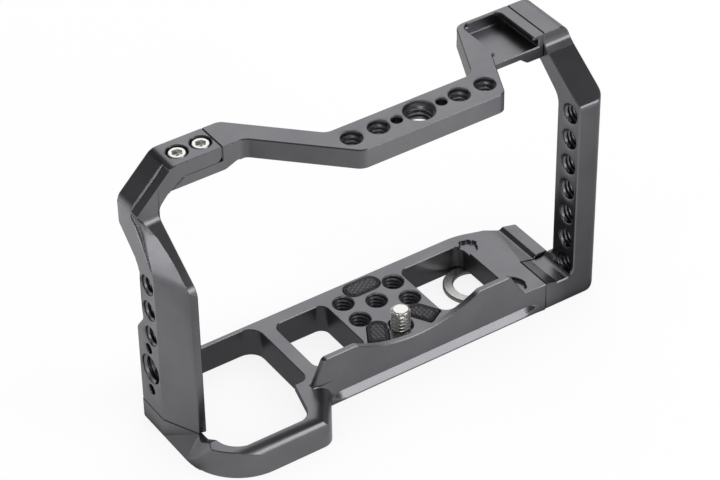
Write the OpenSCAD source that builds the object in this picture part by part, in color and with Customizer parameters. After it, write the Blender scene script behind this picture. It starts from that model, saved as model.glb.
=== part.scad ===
// Camera cage: a base plate, two uprights and a top bar, bolted into one closed frame.
// The origin is the camera screw's axis on the seating face, +X to the right as seen
// from the front, +Y away from the lens, +Z up.

/* [Overall] */
// From the screw's axis to the outer left face
cage_left = 80.9; // [79:0.1:90]
// From the screw's axis to the outer right face
cage_right = 69.2; // [68:0.1:76]
// Height of the top face over the seating face
cage_top = 79.9; // [79:0.1:90]
// Thickness of the base plate
base_t = 10.2; // [10:0.1:12]
// Front face of the base, in front of the screw's axis
base_front = 9.8; // [9.6:0.1:11]
// Rear edge of the base, behind the screw's axis
base_back = 27; // [26.8:0.1:30]

/* [Tapped holes] */
// Outer radius of the quarter inch thread
quarter_r = 3.175; // [3.1:0.005:3.2]
// Outer radius of the three eighths inch thread
eighths_r = 4.7625; // [4.7:0.0005:4.8]
// Radius of the locating pin holes
pin_hole_r = 1.6; // [1.4:0.05:1.7]
// From a three eighths hole to its locating pins
pin_offset = 7.94; // [7.6:0.01:8.1]
// Pitch of neighbouring quarter inch holes
hole_pitch = 9.53; // [9.2:0.01:9.6]
// Chamfer at the mouth of a hole
mouth = 0.4; // [0.2:0.05:0.5]

/* [Grip loop] */
// How far the loop's front rail stands before the base
rail_reach = 14.4; // [12:0.1:18]
// Depth of the front rail at its top
rail_w = 4.5; // [4:0.1:6]
// Width of the loop's left rail
rail_left_w = 6.5; // [6.2:0.1:7]
// Right edge of the loop, left of the screw's axis
grip_right = 37.3; // [36:0.1:38]
// Thickness of the rear rail behind the loop
rear_rail_t = 1.5; // [1.3:0.1:2.5]
// Outer corner radius of the loop
loop_r = 19; // [14:0.5:20]
// Rounding of the front rail's upper edge
rail_round = 4.4; // [3:0.1:4.4]

/* [Windows] */
// Left edge of the left window, left of the screw's axis
window_left = 32.5; // [31:0.1:33]
// Width of the left window
left_window_w = 18.5; // [17:0.1:18.6]
// Left edge of the right window, right of the screw's axis
window_start = 14.5; // [14.4:0.1:16]
// Width of the right window
right_window_w = 23.7; // [22:0.1:24]
// Front edge of both windows, in front of the screw's axis
window_front = 2.4; // [1:0.1:3]
// Wall between the windows and the base's rear edge
window_wall = 4.8; // [4.5:0.1:6]
// Corner radius of the windows
window_r = 3; // [2:0.1:4]

/* [Lens lip] */
// Height of the lip over the seating face
lip_h = 9.2; // [8:0.1:11]
// Thickness of the lip
lip_t = 2; // [1.8:0.1:2.4]
// Radius of the arc that clears the lens
lens_r = 46; // [44:0.5:50]
// Height of the lip below the lens
lip_low = 3; // [2:0.1:4]

/* [Quick release groove] */
// Depth of the dovetail groove
groove_d = 2.4; // [2:0.1:2.6]
// Rim left under the groove
groove_rim = 0.6; // [0.4:0.1:1]
// Height of the groove's mouth
groove_h = 3.7; // [3:0.1:4]

/* [Camera screw] */
// How far the thread stands over the seating face
screw_up = 6.3; // [5:0.1:6.5]
// Radius of the clearance hole
screw_hole_r = 3.95; // [3.8:0.05:4.2]
// Radius of the screw's head
screw_head_r = 6.1; // [5.8:0.1:6.2]
// Thickness of the head
screw_head_t = 2.4; // [2:0.1:2.5]
// Web between the seating face and the head's counterbore
screw_web = 3.6; // [3.4:0.1:3.8]
// Thickness of the washer on the head
washer_t = 0.5; // [0.4:0.05:0.6]
// Thickness of the snap ring
snap_t = 0.9; // [0.7:0.1:1]

/* [Driver key] */
// Outer radius of the ring
key_ring_r = 9.6; // [8.8:0.1:9.8]
// Width of the ring's band
key_band = 3.3; // [3:0.1:3.6]
// Thickness of the key
key_t = 1.6; // [1.4:0.1:1.7]
// Length of the blade beyond the ring
key_blade = 11; // [10:0.1:12]

/* [Uprights] */
// Thickness of the left upright
left_t = 7.7; // [7.4:0.1:8.2]
// Thickness of the right upright
right_t = 9.8; // [9.2:0.1:10.2]
// Depth of the right upright's post
post_d = 11.1; // [10.6:0.1:12]
// Depth of the left upright's arm
arm_d = 11.7; // [11.2:0.1:12.2]
// Front face of the left arm, behind the screw's axis
arm_front = 15.1; // [14.8:0.1:15.4]

/* [Top bar] */
// Thickness of the top bar
bar_t = 6.8; // [6.4:0.1:7.2]
// Depth of the top bar
bar_d = 13.8; // [13:0.1:15]
// Rear edge of the top bar, behind the screw's axis
bar_back = 4.2; // [4:0.1:5]
// Large hole in the bar, right of the screw's axis
bar_centre = 5.3; // [4.8:0.1:5.8]

/* [Cold shoe] */
// Width of the channel
shoe_w = 18.6; // [18.5:0.05:18.8]
// Width between the lips
shoe_gap = 14.2; // [12.5:0.1:14.4]
// Height of the channel under the lips
shoe_h = 2.8; // [2:0.1:2.9]
// Thickness of the lips
shoe_lip_t = 1.5; // [1.4:0.1:1.6]

/* [Pads] */
// Width of a pad
pad_w = 6.4; // [5.6:0.1:6.8]
// Depth of a pad's recess
pad_sink = 0.8; // [0.6:0.1:1]
// How far a pad stands over the seating face
pad_up = 0.2; // [0.1:0.05:0.4]

/* [Hidden] */

// what every cut overruns its solid by
over = 1;
$fn = 64;
// flat steps on a rounded corner, small and large
corner_steps = 6;
large_steps = 14;
large_corner = 7;
// clearances: a thread or fixed screw, a turning screw, touching faces, a loose fit
screw_gap = 0.05;
run_gap = 0.08;
seat_gap = 0.05;
fit_gap = 0.3;
// corner radii
fine_r = 0.5;
small_r = 1;
bend_r = 2;
soft_r = 3;
wide_r = 4;
broad_r = 5.5;
anodised = "#3c3c40";
steel = "#c4c4c2";

// planes that several pieces share
left_x = -cage_left;
left_in = left_x + left_t;
post_x = cage_right - right_t;
foot_len = 10.4;
foot_x = post_x - foot_len;
front_y = -base_front;
rail_y = front_y - rail_reach;
floor_z = -base_t;
foot_back = 3.9;

// small socket screws
m3_r = 1.5;
m3_head_r = 2.75;
m3_head_h = 3;
m3_hex_r = 1.45;
m3_hex_depth = 1.5;
head_gap = 0.5;
low_head_r = 2.3;
low_head_h = 2;
side_shank = 22;
top_shank = 11.5;
foot_shank = 9.5;
lap_shank = 4.6;
shank_end = 0.4;
lap_sink = 0.3;
side_sink = 0.5;
foot_screw_up = 4;
left_foot_y1 = 8.2;
left_foot_y2 = 16.6;
left_foot_ys = [left_foot_y1, left_foot_y2];
foot_screw_in = 5.2;
foot_screw_out = 2.3;
right_foot_ys = [front_y + foot_screw_in, foot_back - foot_screw_out];
shoe_y1 = 13.5;
shoe_y2 = 23;
shoe_ys = [shoe_y1, shoe_y2];

// base plate
side_back = 19.4;
tail_drop = 6.2;
tail_back = base_back - tail_drop;
tail_run = 9.5;
tail_start = foot_x - tail_run;
tail_r = 25;
rail_len = 39.4;
rail_end = left_x + rail_len;
root_len = 48.6;
rail_root = left_x + root_len;
rail_tip_r = 5;
foot_seat = 3.3;
shelf_end = 7.5;
ramp_end = 12.5;
rim_x = 3.4;
rim_y = 14;
flare_y1 = 8;
flare_y2 = 5;
loop_step_y = 5;
loop_step_x = 42.3;
loop_tip_x = 46.1;
loop_in_r = 5;
loop_front_r = 8;
loop_step_r = 2.7;
loop_tip_r = 5;
shelf_t = 1.2;
undercut = 6;
undercut_len = 11.4;
end_round = 6;
lip_left = 38.6;
lip_slope = 4.2;
lip_right = 40.4;
lip_right_slope = 5.6;
lip_corner = 2;
lip_relief_r = 1.4;
lip_relief_d = 1.2;
groove_left = 26.6;
groove_rest = 8.4;
groove_right = foot_x - groove_rest;
cutter_r = 7;
scoop_w = 6.1;
scoop_d = 1.2;
scoop_r = 3;
grid_x = 0.64;
grid_y = 14.07;
grid_dx = 9.4;
grid_dy = 4.68;
pocket_r = 3;
pocket_d = 1;
pocket_in = 1.4;
pad_rear_y = 22.5;
pad_rear_len = 12.4;
pad_side_x = 7.4;
pad_side_y = 2.8;
pad_side_len = 6.6;
pad_turn = 60;
pad_edge = 0.6;

// corners of the flank's flare, on the shelf, on the rim and at the bottom
edge_x = 5.35;
edge_y = 4.25;
side_front = 7.1;
shelf_a = [left_x, side_front, -foot_seat];
shelf_b = [left_x + edge_x, -edge_y, -foot_seat];
rim_c = [left_x + rim_x, -rim_y, 0];
flare_a = [left_x, flare_y1, floor_z];
flare_b = [left_x, -flare_y2, floor_z];

// camera screw and what keeps it
head_room = 0.4;
counter_r = screw_head_r + head_room;
snap_lift = 0.4;
snap_z = floor_z + snap_lift;
snap_bite = 0.7;
snap_gap = 2.4;
slot_w = 1.6;
slot_d = 1.2;
washer_z = -screw_web - seat_gap - washer_t;
screw_head_z = washer_z - screw_head_t;
screw_drop = screw_head_z - snap_z - snap_t - seat_gap;
neck_r = 2.45;
neck_up = -0.1;
tip_chamfer = 0.8;

// driver key
key_x = 36.4;
key_y = 12.3;
key_z = floor_z + fit_gap;
key_room = key_t + 2 * fit_gap;
blade_w = 4;
tip_w = 3;
magnet_r = 2;
magnet_h = 1.5;
magnet_near = 2.6;
magnet_far = 8.2;
magnet_xs = [key_x + key_ring_r + magnet_near, key_x + key_ring_r + magnet_far];

// left upright
nose_y = 4.9;
waist_back = 15.4;
waist_low = 25;
waist_high = 30.3;
waist_drop = 30.1;
waist_top = cage_top - waist_drop;
shoulder_drop = 19.4;
shoulder_z = cage_top - shoulder_drop;
slope_low_drop = 30;
slope_low = cage_top - slope_low_drop;
slope_high_drop = 15;
slope_high = cage_top - slope_high_drop;
left_row_y = 11.5;
left_row_z = 45.1;
left_big_y = 13.4;
left_big_z = 12.1;
face_yaw = 25.2;
face_pitch = 8;
face_drop = 29.4;
face_start_z = cage_top - face_drop;
bevel_drop = 12.6;
bevel_angle = 45;
arm_back_r = 1.7;
fillet_r = 4;
arm_in_drop = 13.9;
arm_in_z = cage_top - arm_in_drop;
tongue_t = 4.8;
tongue_end = 51.2;
block_h = 8.5;
block_start = 12.1;
block_step = 5;
arm_in_rise = 1.2;
strip_w = 3.6;
strip_d = 0.8;
lap_y = 20.7;
lap_in = 3.9;
lap_pitch = 7.9;
lap_x2 = tongue_end + lap_in;
lap_x1 = lap_x2 + lap_pitch;

// top bar
bar_y = bar_back - bar_d;
row_in = 6.5;
bar_row = bar_back - row_in;
bar_z = cage_top - bar_t;
band_w = 7.25;
band_x = 28.8;
bar_end = 31.1;
arm_lean = 65;
bar_corner = 5;
shoe_left = 22.4;
inner_hole = 14.33;
bar_pitch = 9.33;
bar_xs = [for (side = [-1, 1], k = [0, 1]) bar_centre + side * (inner_hole + k * bar_pitch)];

// cold shoe
shoe_front = 9.2;
shoe_back = 28.2;
shoe_x = 48.2;
shoe_stop = 26.9;
shoe_floor = cage_top - shoe_lip_t - shoe_h;
shoe_thick = 8.8;
shoe_thin = 6.7;
shoe_step_x = 51;
joint_drop = 6.5;
shoe_joint_z = cage_top - joint_drop;
shoe_swell = 2.6;

// right upright
row_edge = 4.95;
right_row_y = front_y + row_edge;
row_drop = 21.75;
right_row_z = cage_top - row_drop;
right_holes = 7;
post_in = front_y + post_d;
head_h = 10.5;
head_low = cage_top - head_h;
bend_drop = 17.3;
bend_z = cage_top - bend_drop;
neck_y = 6.5;
neck_drop = 6.1;
neck_z = cage_top - neck_drop;
neck_top_drop = 3.9;
neck_top = cage_top - neck_top_drop;
brace_z = 10.6;
brace_h = 8.3;
post_round = 4;
top_round = 4.6;
post_foot_r = 2.6;

// unit vector along v, and its angle
function unit(v) = v / norm(v);
function heading(v) = atan2(v.y, v.x);

// arc of radius r that rounds the corner b between a and c
function corner(a, b, c, r) = r <= 0 ? [b] :
    let (u = unit(a - b), w = unit(c - b), half = acos(u * w) / 2)
    let (centre = b + unit(u + w) * r / sin(half))
    let (from = heading(b + u * r / tan(half) - centre))
    let (to = heading(b + w * r / tan(half) - centre))
    let (sweep = (to - from + 540) % 360 - 180, n = r > large_corner ? large_steps : corner_steps)
    [for (i = [0 : n])
        let (angle = from + sweep * i / n)
        centre + r * [cos(angle), sin(angle)]];

// outline through points given as [x, y, corner radius]
function rounded(p) = [for (i = [0 : len(p) - 1])
    let (n = len(p), a = p[(i + n - 1) % n], b = p[i], c = p[(i + 1) % n])
    each corner([a.x, a.y], [b.x, b.y], [c.x, c.y], b.z)];

// extrudes an outline of X and Z along Y
module along_y(y0, y1) {
    translate([0, y1, 0])
        rotate([90, 0, 0])
            linear_extrude(y1 - y0)
                children();
}

// extrudes an outline of Y and Z along X
module along_x(x0, x1) {
    translate([x0, 0, 0])
        rotate([90, 0, 90])
            linear_extrude(x1 - x0)
                children();
}

// extrudes an outline of X and Y along Z
module along_z(z0, z1) {
    translate([0, 0, z0])
        linear_extrude(z1 - z0)
            children();
}

// through hole whose upper mouth lies at the origin, with both mouths chamfered
module tapped(r, depth, edge = mouth) {
    translate([0, 0, -depth - over])
        cylinder(h = depth + 2 * over, r = r);
    translate([0, 0, -edge])
        cylinder(h = edge + over, r1 = r, r2 = r + edge + over);
    translate([0, 0, -depth - over])
        cylinder(h = edge + over, r1 = r + edge + over, r2 = r);
}

// hole for a socket screw, head up at the origin: counterbore, then shank
module screw_hole(head_r, head_h, shank) {
    translate([0, 0, -head_h])
        cylinder(h = head_h + over, r = head_r);
    translate([0, 0, -head_h - shank])
        cylinder(h = shank + over, r = m3_r + screw_gap);
}

// socket screw, head up, with the top of its head at the origin
module socket_screw(head_r, head_h, shank) {
    difference() {
        union() {
            translate([0, 0, -head_h])
                cylinder(h = head_h, r = head_r);
            translate([0, 0, -head_h - shank])
                cylinder(h = shank, r = m3_r);
        }
        translate([0, 0, -m3_hex_depth])
            cylinder(h = m3_hex_depth + over, r = m3_hex_r, $fn = 6);
    }
}

// half of all space: what lies on the side that n points to, from the point p
module beyond(p, n) {
    translate(p)
        rotate([0, acos(n.z / norm(n)), heading(n)])
            translate([-cage_top, -cage_top, 0])
                cube(2 * cage_top);
}

// rounded bar of length len and width w along X, standing on Z = 0
module stadium(len, w, h) {
    hull_len = len - w;
    translate([-hull_len / 2, -w / 2, 0])
        cube([hull_len, w, h]);
    for (side = [-1, 1])
        translate([side * hull_len / 2, 0, 0])
            cylinder(h = h, r = w / 2);
}

// places: each puts its children where a screw's head lies, axis up the local Z
module at_lap(x) {
    translate([-x, lap_y, cage_top])
        children();
}
module at_left_foot(y) {
    translate([left_x + rail_left_w / 2, y, floor_z])
        mirror([0, 0, 1])
            children();
}
module at_right_foot(y) {
    translate([cage_right, y, floor_z + foot_screw_up])
        rotate([0, 90, 0])
            children();
}
module at_shoe(y) {
    translate([cage_right, y, shoe_joint_z])
        rotate([0, 90, 0])
            children();
}

// footprint of the left upright
function left_foot_outline() = [
    [left_x, shoulder_back(), arm_back_r], [left_x, side_front, 0],
    [left_x + edge_x, -edge_y, 0], [left_in, -nose_y, 0], [left_in, shoulder_back(), 0]];
function shoulder_back() = arm_front + arm_d;

// plan of the base plate
function base_outline() = [
    [left_x, side_back, fine_r], [left_x, rail_y, loop_r], [rail_end, rail_y, rail_tip_r],
    [rail_root, front_y, 0], [foot_x, front_y, 0], [foot_x, foot_back, 0],
    [post_x, foot_back, 0], [post_x, tail_back, fine_r], [tail_start, base_back, tail_r],
    [left_x + base_back - side_back, base_back, fine_r]];

// grip loop's hole
function loop_outline() = [
    [left_x + rail_left_w, base_back - rear_rail_t, loop_in_r],
    [-grip_right, base_back - rear_rail_t, loop_in_r],
    [-grip_right, -loop_step_y, loop_step_r],
    [-loop_step_x, -loop_step_y, fine_r],
    [-loop_tip_x, rail_y + rail_w, loop_tip_r],
    [left_x + rail_left_w, rail_y + rail_w, loop_front_r]];

// window from x0, w wide
function window(x0, w) = [
    [x0, -window_front, window_r], [x0 + w, -window_front, window_r],
    [x0 + w, base_back - window_wall, window_r], [x0, base_back - window_wall, window_r]];

// lens lip seen from the front
module lip() {
    along_y(front_y, front_y + lip_t)
        difference() {
            polygon(rounded([
                [-lip_left, -over, 0], [-lip_left, 0, 0],
                [-lip_left + lip_slope, lip_h, lip_corner],
                [lip_right - lip_right_slope, lip_h, lip_corner], [lip_right, 0, 0],
                [lip_right, -over, 0]]));
            translate([0, lip_low + lens_r])
                circle(r = lens_r, $fn = 180);
        }
}

// dovetail groove along a face at y = 0 that looks along -Y
module groove(x0, x1) {
    top_z = floor_z + groove_rim + groove_h;
    root_z = floor_z + groove_rim + groove_d;
    along_x(x0, x1)
        polygon([[-over, top_z], [groove_d, top_z], [groove_d, root_z],
            [0, floor_z + groove_rim], [-over, floor_z + groove_rim]]);
    for (x = [x0, x1])
        translate([x, groove_d - cutter_r, 0]) {
            translate([0, 0, root_z])
                cylinder(h = top_z - root_z, r = cutter_r);
            translate([0, 0, root_z - groove_d])
                cylinder(h = groove_d, r1 = cutter_r - groove_d, r2 = cutter_r);
        }
}

// what rounds an upper edge that runs along X from the origin, solid on the +Y side
module edge_round(len, r) {
    translate([-over, -seat_gap, 0])
        difference() {
            translate([0, -over, -r])
                cube([len + 2 * over, r + over, r + over]);
            translate([-over, r, -r])
                rotate([0, 90, 0])
                    cylinder(h = len + 4 * over, r = r);
        }
}

// trough along Y between the seating face and the right post
module scoop(y0, y1) {
    along_y(y0, y1)
        polygon(rounded([[foot_x, over, 0], [foot_x, 0, 0],
            [foot_x + scoop_w - scoop_d, -scoop_d, scoop_d], [foot_x + scoop_w, 0, 0],
            [foot_x + scoop_w, over, 0]]));
}

// key's outline, grown by g
module key_plan(g) {
    circle(r = key_ring_r + g);
    translate([0, -blade_w / 2 - g])
        square([key_ring_r + key_blade + g, blade_w + 2 * g]);
}

module base_plate() {
    color(anodised)
        difference() {
            union() {
                along_z(floor_z, 0)
                    polygon(rounded(base_outline()));
                lip();
            }
            // loop and windows
            along_z(floor_z - over, over)
                polygon(rounded(loop_outline()));
            along_z(floor_z - over, over)
                polygon(rounded(window(-window_left, left_window_w)));
            along_z(floor_z - over, over)
                polygon(rounded(window(window_start, right_window_w)));
            loop_edges();
            // shelf that the left upright stands on, and the flank's flare before it
            along_x(left_x - over, left_x + rail_left_w + over)
                polygon(rounded([[side_back + over, over, 0], [side_back + over, -foot_seat, 0],
                    [-shelf_end, -foot_seat, wide_r], [-ramp_end, 0, soft_r],
                    [-ramp_end - over, over, 0]]));
            intersection() {
                beyond(shelf_a, cross(shelf_b - shelf_a, shelf_a - flare_a));
                beyond(shelf_b, cross(flare_b - flare_a, shelf_b - flare_b));
                beyond(shelf_b, cross(rim_c - shelf_b, shelf_b - flare_b));
            }
            // five tapped holes
            for (p = [[0, 0], [-1, 1], [-1, -1], [1, 1], [1, -1]])
                translate([grid_x + p.x * grid_dx, grid_y + p.y * grid_dy, 0])
                    tapped(quarter_r, base_t);
            // camera screw's way, its head's counterbore and the snap ring's groove
            translate([0, 0, floor_z - over])
                cylinder(h = base_t + 2 * over, r = screw_hole_r);
            translate([0, 0, floor_z - over])
                cylinder(h = base_t - screw_web + over, r = counter_r);
            translate([0, 0, snap_z - seat_gap])
                cylinder(h = snap_t + 2 * seat_gap, r = counter_r + snap_bite);
            // pads
            pads(pad_sink, fit_gap / 2, over);
            // grooves of the quick release, front and rear
            translate([0, front_y, 0])
                groove(-groove_left, groove_right);
            translate([0, base_back, 0])
                mirror([0, 1, 0])
                    groove(-groove_left, groove_left);
            scoop(foot_back - over, base_back + over);
            // round pocket at the window's corner, and the lip's relief
            translate([window_start + right_window_w + pocket_in,
                base_back - window_wall - 2 * pocket_in, -pocket_d])
                cylinder(h = pocket_d + over, r = pocket_r);
            translate([lip_right + lip_relief_r, front_y + lip_t + lip_relief_r, -lip_relief_d])
                cylinder(h = lip_relief_d + over, r = lip_relief_r);
            // driver key's recess and its magnets
            translate([key_x, key_y, 0])
                along_z(floor_z - over, floor_z + key_room)
                    key_plan(fit_gap);
            for (x = magnet_xs)
                translate([x, key_y, floor_z])
                    cylinder(h = key_room + magnet_h + seat_gap, r = magnet_r + screw_gap);
            // screws of both feet
            for (y = left_foot_ys)
                at_left_foot(y)
                    screw_hole(low_head_r + head_gap / 2, low_head_h + side_sink, base_t);
            for (y = right_foot_ys)
                at_right_foot(y)
                    screw_hole(m3_head_r, m3_head_h + side_sink, side_shank);
        }
}

// roundings of the loop's front rail and the chamfer under its right arm
module loop_edges() {
    translate([left_x, rail_y, 0])
        edge_round(rail_root - left_x, rail_round);
    lean = heading([rail_root - rail_end, rail_reach]);
    intersection() {
        translate([rail_end, rail_y, 0])
            rotate([0, 0, lean])
                translate([-rail_tip_r, 0, 0])
                    edge_round(2 * rail_reach, end_round);
        translate([rail_end - 2 * end_round, rail_y - over, -end_round - over])
            cube([4 * end_round, rail_reach + over, end_round + 2 * over]);
    }
    arm = heading([loop_tip_x - loop_step_x, -rail_y - rail_w - loop_step_y]);
    translate([-loop_step_x, -loop_step_y, 0])
        rotate([0, 0, arm - 90])
            along_y(-undercut_len, over)
                polygon([[-over, -shelf_t], [-over / 2, -shelf_t], [undercut, floor_z - over],
                    [-over, floor_z - over]]);
}

// the three pads, from depth below the seating face to up above it, grown by g
module pads(depth, g, up) {
    pad_rear_shape(depth, g, up);
    for (side = [-1, 1])
        pad_side_shape(side, depth, g, up);
}

module pad_rear_shape(depth, g, up) {
    translate([grid_x, pad_rear_y, -depth])
        stadium(pad_rear_len + 2 * g, pad_w + 2 * g, depth + up);
}

// side pad: round at its rear end, cut square at the front, short of the window
module pad_side_shape(side, depth, g, up) {
    intersection() {
        translate([grid_x + side * pad_side_x, pad_side_y, -depth])
            rotate([0, 0, side > 0 ? -pad_turn : pad_turn - 180]) {
                cylinder(h = depth + up, r = pad_w / 2 + g);
                translate([0, -pad_w / 2 - g, 0])
                    cube([pad_side_len + g, pad_w + 2 * g, depth + up]);
            }
        translate([-window_start + pad_edge - g, front_y, -depth - over])
            cube([2 * (window_start - pad_edge + g), base_back, depth + up + 2 * over]);
    }
}

module left_upright() {
    color(anodised)
        difference() {
            union() {
                // post, with its footprint, its waist and its slope up to the arm
                intersection() {
                    along_x(left_x, left_in)
                        polygon(rounded(left_side()));
                    along_z(-foot_seat, cage_top)
                        polygon(rounded(left_foot_outline()));
                }
                // arm and the lap tongue over the bar's block
                intersection() {
                    along_y(arm_front, shoulder_back())
                        polygon(rounded(arm_profile()));
                    along_z(0, cage_top + over)
                        polygon(rounded([
                            [left_x, front_y, 0], [-tongue_end, front_y, 0],
                            [-tongue_end, shoulder_back(), 0],
                            [left_x, shoulder_back(), arm_back_r]]));
                }
            }
            // face that turns from the post's flank into the arm's front
            translate([left_x, side_front, face_start_z])
                rotate([0, face_pitch, face_yaw])
                    translate([-cage_top, -cage_top / 2, -cage_top / 2])
                        cube(cage_top);
            // strip along the arm's bevel
            translate([left_x, arm_front - over, cage_top - bevel_drop])
                rotate([0, -bevel_angle, 0])
                    translate([-over, 0, -strip_d])
                        cube([norm([bevel_drop, bevel_drop]), strip_w + over, strip_d + over * 2]);
            // row of tapped holes, the large one and its pins
            for (i = [0 : 2])
                side_hole(left_row_y, left_row_z - i * hole_pitch, quarter_r);
            side_hole(left_big_y, left_big_z, eighths_r);
            for (side = [-1, 1])
                side_hole(left_big_y, left_big_z + side * pin_offset, pin_hole_r);
            for (x = [lap_x1, lap_x2])
                at_lap(x)
                    screw_hole(m3_head_r + head_gap, m3_head_h + lap_sink, tongue_t);
            for (y = left_foot_ys)
                at_left_foot(y)
                    screw_hole(low_head_r, low_head_h, foot_shank + shank_end);
        }
}

module side_hole(y, z, r) {
    translate([left_x, y, z])
        rotate([0, -90, 0])
            tapped(r, left_t);
}

// post of the left upright seen from its side, as Y and Z
function left_side() = [
    [side_back, -foot_seat, 0], [side_back, waist_low, bend_r],
    [waist_back, waist_high, soft_r], [waist_back, waist_top, broad_r],
    [shoulder_back(), shoulder_z, soft_r], [shoulder_back(), arm_in_z + over, 0],
    [arm_front, arm_in_z + over, 0], [arm_front, slope_high, fillet_r],
    [-nose_y, slope_low, broad_r], [-nose_y, -foot_seat, 0]];

// arm of the left upright seen from the front, as X and Z
function arm_profile() = [
    [left_x, shoulder_z - over, 0], [left_x, cage_top - bevel_drop, bend_r],
    [left_x + bevel_drop, cage_top, bend_r], [-tongue_end, cage_top, 0],
    [-tongue_end, cage_top - tongue_t, bend_r],
    [left_x + block_start + tongue_t, cage_top - tongue_t, bend_r],
    [left_x + block_start, cage_top - block_h, 0],
    [left_x + block_start - over, cage_top - block_h - lap_sink, fine_r],
    [left_in, arm_in_z + arm_in_rise, broad_r], [left_in, shoulder_z - over, 0]];

module top_bar() {
    color(anodised)
        difference() {
            union() {
                along_z(bar_z, cage_top)
                    polygon(rounded(bar_plan()));
                // block under the lap tongue
                along_y(arm_front, shoulder_back())
                    polygon(rounded(block_profile()));
                // thicker end that the right upright bolts to
                along_y(shoe_front, shoe_back)
                    polygon(rounded([
                        [shoe_step_x, bar_z - seat_gap + over, 0],
                        [shoe_step_x, bar_z, bend_r],
                        [shoe_step_x + shoe_swell, cage_top - shoe_thick, bend_r],
                        [post_x, cage_top - shoe_thick, 0], [post_x, bar_z + over, 0]]));
            }
            for (x = bar_xs)
                bar_hole(x, quarter_r);
            bar_hole(bar_centre, eighths_r);
            for (side = [-1, 1])
                bar_hole(bar_centre + side * pin_offset, pin_hole_r);
            shoe_channel();
            for (x = [lap_x1, lap_x2])
                at_lap(x)
                    screw_hole(m3_head_r, m3_head_h, lap_shank + shank_end);
            for (y = shoe_ys)
                at_shoe(y)
                    screw_hole(m3_head_r, m3_head_h, top_shank + shank_end);
        }
}

module bar_hole(x, r) {
    translate([x, bar_row, cage_top])
        tapped(r, bar_t);
}

// plan of the top bar, from the lap seam round to the cold shoe
function bar_plan() = [
    [-tongue_end, shoulder_back(), 0],
    [-tongue_end, arm_front, 0],
    [-band_x - arm_front, arm_front, wide_r],
    [-band_x - bar_y, bar_y, bar_corner],
    [bar_end + lean_run(bar_y), bar_y, soft_r],
    [bar_end + lean_run(shoe_front), shoe_front, small_r],
    [post_x, shoe_front, 0], [post_x, shoe_back, 0],
    [shoe_left + lean_run(shoe_back), shoe_back, wide_r],
    [shoe_left + lean_run(bar_back), bar_back, wide_r],
    [-band_x + norm([band_w, band_w]) - bar_back, bar_back, wide_r],
    [-band_x + norm([band_w, band_w]) - shoulder_back(), shoulder_back(), wide_r]];
function lean_run(y) = (y - bar_y) / tan(arm_lean);

// block under the lap tongue seen from the front, as X and Z
function block_profile() = [
    [left_x + block_start, cage_top - block_h, 0],
    [-tongue_end + over, cage_top - block_h, soft_r],
    [-tongue_end + block_step, bar_z, wide_r],
    [-tongue_end + block_step + wide_r, bar_z, 0],
    [-tongue_end + block_step + wide_r, bar_z + over, 0],
    [-tongue_end, bar_z + over, 0],
    [-tongue_end, cage_top - tongue_t, 0],
    [left_x + block_start + tongue_t, cage_top - tongue_t, bend_r]];

// T-shaped channel of the cold shoe, open to the front
module shoe_channel() {
    translate([shoe_x - shoe_w / 2, shoe_front - 2 * over, shoe_floor])
        cube([shoe_w, shoe_stop - shoe_front + 2 * over, shoe_h]);
    along_z(shoe_floor + shoe_h - over, cage_top + over)
        polygon(rounded([
            [shoe_x - shoe_gap / 2, shoe_front - 2 * over, 0],
            [shoe_x + shoe_gap / 2, shoe_front - 2 * over, 0],
            [shoe_x + shoe_gap / 2, shoe_stop, bend_r],
            [shoe_x - shoe_gap / 2, shoe_stop, soft_r]]));
}

module right_upright() {
    color(anodised)
        difference() {
            intersection() {
                along_x(foot_x, cage_right)
                    polygon(rounded(right_side()));
                along_y(front_y - over, shoe_back + over)
                    polygon(rounded(right_front()));
                along_z(floor_z - over, cage_top + over)
                    polygon(rounded([
                        [foot_x, front_y, 0], [cage_right, front_y, post_round],
                        [cage_right, shoe_back, small_r], [foot_x, shoe_back, 0]]));
            }
            for (i = [0 : right_holes - 1])
                translate([cage_right, right_row_y, right_row_z - i * hole_pitch])
                    rotate([0, 90, 0])
                        tapped(quarter_r, right_t);
            for (y = right_foot_ys)
                at_right_foot(y)
                    screw_hole(m3_head_r + head_gap / 2, m3_head_h + side_sink, side_shank);
            for (y = shoe_ys)
                at_shoe(y)
                    screw_hole(m3_head_r + head_gap / 2, m3_head_h + side_sink, side_shank);
        }
}

// right upright seen from its side, as Y and Z
function right_side() = [
    [front_y, floor_z, 0], [front_y, bend_z, bend_r], [neck_y, neck_z, wide_r],
    [shoe_front, neck_top, soft_r], [shoe_front, cage_top, 0], [shoe_back, cage_top, 0],
    [shoe_back, head_low, small_r], [post_in + brace_z - small_r, head_low, small_r],
    [post_in, head_low - brace_h, broad_r], [post_in, 0, post_foot_r],
    [foot_back, 0, 0], [foot_back, floor_z, 0]];

// right upright seen from the front, as X and Z
function right_front() = [
    [foot_x, floor_z, 0], [cage_right, floor_z, top_round], [cage_right, cage_top, top_round],
    [post_x, cage_top, 0], [post_x, -scoop_d, scoop_r],
    [foot_x + scoop_w - bend_r, -scoop_d, bend_r], [foot_x, 0, 0]];

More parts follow.
